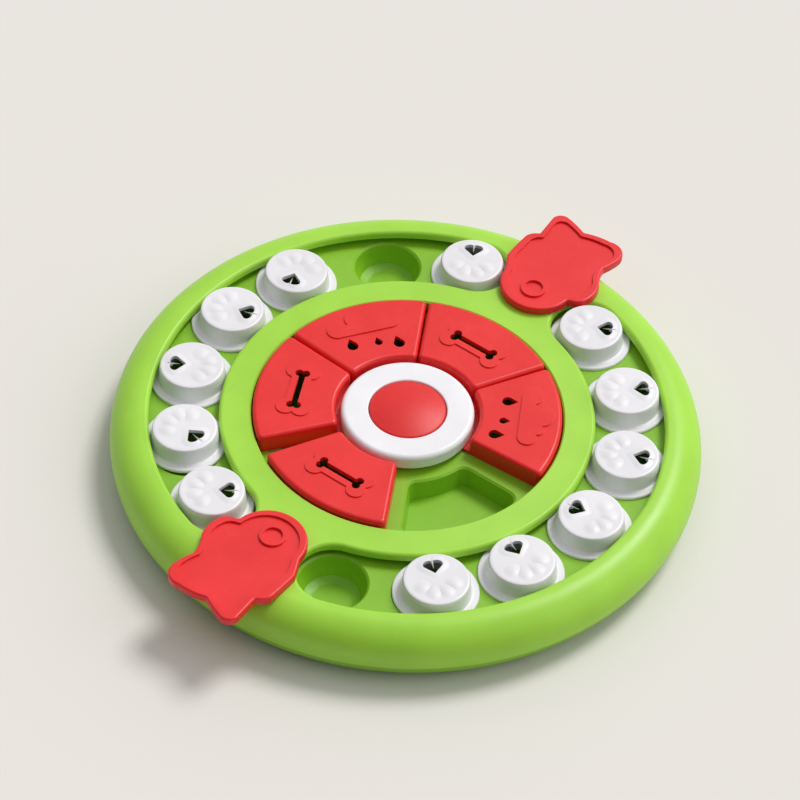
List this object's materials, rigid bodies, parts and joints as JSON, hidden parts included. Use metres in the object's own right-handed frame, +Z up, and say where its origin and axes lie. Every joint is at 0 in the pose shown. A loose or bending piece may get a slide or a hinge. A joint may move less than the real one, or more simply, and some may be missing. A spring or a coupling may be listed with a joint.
{
  "type": "dog puzzle feeder",
  "caption": "Round dog puzzle feeder: paw cups slide in two arc channels over treat bowls, sector lids turn round a hub with a squeaker button, and fish lids swing aside.",
  "frame": {"origin": "on the central axis, at the floor that the pads rest on", "axes": "+Z up along the central axis, +Y along the line through the two fish lids' pivots towards fish_lid_a, +X to the right, through the middle of one channel"},
  "size_m": [0.34, 0.3741, 0.0426],
  "materials": {
    "tray_green": "satin moulded",
    "cover_green": "satin moulded",
    "cap_white": "satin moulded",
    "cup_white": "satin moulded",
    "lid_red": "satin moulded",
    "fish_red": "satin moulded",
    "button_red": "satin moulded",
    "screw_steel": "zinc plated",
    "washer_steel": "zinc plated",
    "pad_rubber": "matte",
    "reed_white": "matte",
    "bulb_grey": "soft matte"
  },
  "bodies": {
    "base": {"base_tray": "tray_green", "tray_hub": "tray_green", "treat_bowl_right_1": "tray_green", "treat_bowl_right_2": "tray_green", "treat_bowl_right_3": "tray_green", "treat_bowl_right_4": "tray_green", "treat_bowl_right_5": "tray_green", "treat_bowl_right_6": "tray_green", "treat_bowl_right_7": "tray_green", "treat_bowl_left_1": "tray_green", "treat_bowl_left_2": "tray_green", "treat_bowl_left_3": "tray_green", "treat_bowl_left_4": "tray_green", "treat_bowl_left_5": "tray_green", "treat_bowl_left_6": "tray_green", "treat_bowl_left_7": "tray_green", "treat_pocket_1": "tray_green", "treat_pocket_2": "tray_green", "treat_pocket_3": "tray_green", "treat_pocket_4": "tray_green", "treat_pocket_5": "tray_green", "treat_pocket_6": "tray_green", "top_cover_1": "cover_green", "top_cover_2": "cover_green", "top_cover_3": "cover_green", "top_cover_4": "cover_green", "top_cover_5": "cover_green", "top_cover_6": "cover_green", "hub_cap": "cap_white", "case_screws": "screw_steel", "cap_screws": "screw_steel", "foot_pads": "pad_rubber", "squeaker_reed": "reed_white", "squeaker_bulb": "bulb_grey"},
    "slider_cup_left_1": {"slider_cup_left_1": "cup_white"},
    "slider_cup_left_2": {"slider_cup_left_2": "cup_white"},
    "slider_cup_left_3": {"slider_cup_left_3": "cup_white"},
    "slider_cup_left_4": {"slider_cup_left_4": "cup_white"},
    "slider_cup_left_5": {"slider_cup_left_5": "cup_white"},
    "slider_cup_left_6": {"slider_cup_left_6": "cup_white"},
    "slider_cup_right_1": {"slider_cup_right_1": "cup_white"},
    "slider_cup_right_2": {"slider_cup_right_2": "cup_white"},
    "slider_cup_right_3": {"slider_cup_right_3": "cup_white"},
    "slider_cup_right_4": {"slider_cup_right_4": "cup_white"},
    "slider_cup_right_5": {"slider_cup_right_5": "cup_white"},
    "slider_cup_right_6": {"slider_cup_right_6": "cup_white"},
    "bone_lid_1": {"bone_lid_1": "lid_red"},
    "bone_lid_2": {"bone_lid_2": "lid_red"},
    "bone_lid_3": {"bone_lid_3": "lid_red"},
    "cloud_lid_1": {"cloud_lid_1": "lid_red"},
    "cloud_lid_2": {"cloud_lid_2": "lid_red"},
    "fish_a": {"fish_lid_a": "fish_red", "fish_washer_a": "washer_steel", "fish_screw_a": "screw_steel"},
    "fish_b": {"fish_lid_b": "fish_red", "fish_washer_b": "washer_steel", "fish_screw_b": "screw_steel"},
    "button": {"squeaker_button": "button_red"}
  },
  "joints": [
    {"name": "slide_left_1", "type": "hinge", "parent": "base", "child": "slider_cup_left_1", "pos_m": [0, 0, 0.0281], "axis": [0, 0, 1], "range_deg": [-0.4, 26.6]},
    {"name": "slide_left_2", "type": "hinge", "parent": "base", "child": "slider_cup_left_2", "pos_m": [0, 0, 0.0281], "axis": [0, 0, 1], "range_deg": [-26.6, 0.5]},
    {"name": "slide_left_3", "type": "hinge", "parent": "base", "child": "slider_cup_left_3", "pos_m": [0, 0, 0.0281], "axis": [0, 0, 1], "range_deg": [-0.5, 1.1]},
    {"name": "slide_left_4", "type": "hinge", "parent": "base", "child": "slider_cup_left_4", "pos_m": [0, 0, 0.0281], "axis": [0, 0, 1], "range_deg": [-1.1, 0.3]},
    {"name": "slide_left_5", "type": "hinge", "parent": "base", "child": "slider_cup_left_5", "pos_m": [0, 0, 0.0281], "axis": [0, 0, 1], "range_deg": [-0.3, 0.6]},
    {"name": "slide_left_6", "type": "hinge", "parent": "base", "child": "slider_cup_left_6", "pos_m": [0, 0, 0.0281], "axis": [0, 0, 1], "range_deg": [-0.6, 0.85]},
    {"name": "slide_right_1", "type": "hinge", "parent": "base", "child": "slider_cup_right_1", "pos_m": [0, 0, 0.0281], "axis": [0, 0, 1], "range_deg": [-25.1, 0.6]},
    {"name": "slide_right_2", "type": "hinge", "parent": "base", "child": "slider_cup_right_2", "pos_m": [0, 0, 0.0281], "axis": [0, 0, 1], "range_deg": [-0.6, 1.5]},
    {"name": "slide_right_3", "type": "hinge", "parent": "base", "child": "slider_cup_right_3", "pos_m": [0, 0, 0.0281], "axis": [0, 0, 1], "range_deg": [-1.5, 1]},
    {"name": "slide_right_4", "type": "hinge", "parent": "base", "child": "slider_cup_right_4", "pos_m": [0, 0, 0.0281], "axis": [0, 0, 1], "range_deg": [-1, 0.7]},
    {"name": "slide_right_5", "type": "hinge", "parent": "base", "child": "slider_cup_right_5", "pos_m": [0, 0, 0.0281], "axis": [0, 0, 1], "range_deg": [-0.7, 2.2]},
    {"name": "slide_right_6", "type": "hinge", "parent": "base", "child": "slider_cup_right_6", "pos_m": [0, 0, 0.0281], "axis": [0, 0, 1], "range_deg": [-2.2, 0.05]},
    {"name": "turn_bone_lid_1", "type": "hinge", "parent": "base", "child": "bone_lid_1", "pos_m": [0, 0, 0.0281], "axis": [0, 0, 1], "range_deg": [-0.6, 0.6]},
    {"name": "turn_bone_lid_2", "type": "hinge", "parent": "base", "child": "bone_lid_2", "pos_m": [0, 0, 0.0281], "axis": [0, 0, 1], "range_deg": [-0.6, 7.2]},
    {"name": "turn_bone_lid_3", "type": "hinge", "parent": "base", "child": "bone_lid_3", "pos_m": [0, 0, 0.0281], "axis": [0, 0, 1], "range_deg": [-7.2, 64]},
    {"name": "turn_cloud_lid_1", "type": "hinge", "parent": "base", "child": "cloud_lid_1", "pos_m": [0, 0, 0.0281], "axis": [0, 0, 1], "range_deg": [-0.6, 0.6]},
    {"name": "turn_cloud_lid_2", "type": "hinge", "parent": "base", "child": "cloud_lid_2", "pos_m": [0, 0, 0.0281], "axis": [0, 0, 1], "range_deg": [-64, 0.6]},
    {"name": "swing_fish_a", "type": "hinge", "parent": "base", "child": "fish_a", "pos_m": [0, 0.1243, 0.0369], "axis": [0, 0, 1], "range_deg": [-1.4, 1]},
    {"name": "swing_fish_b", "type": "hinge", "parent": "base", "child": "fish_b", "pos_m": [0, -0.1243, 0.0369], "axis": [0, 0, 1], "range_deg": [-4, 90]},
    {"name": "press_button", "type": "slide", "parent": "base", "child": "button", "axis": [0, 0, -1], "range_m": [0, 0.0035], "stiffness_N_per_m": 600, "springref_m": -0.001, "deforming": ["squeaker_bulb"]}
  ]
}
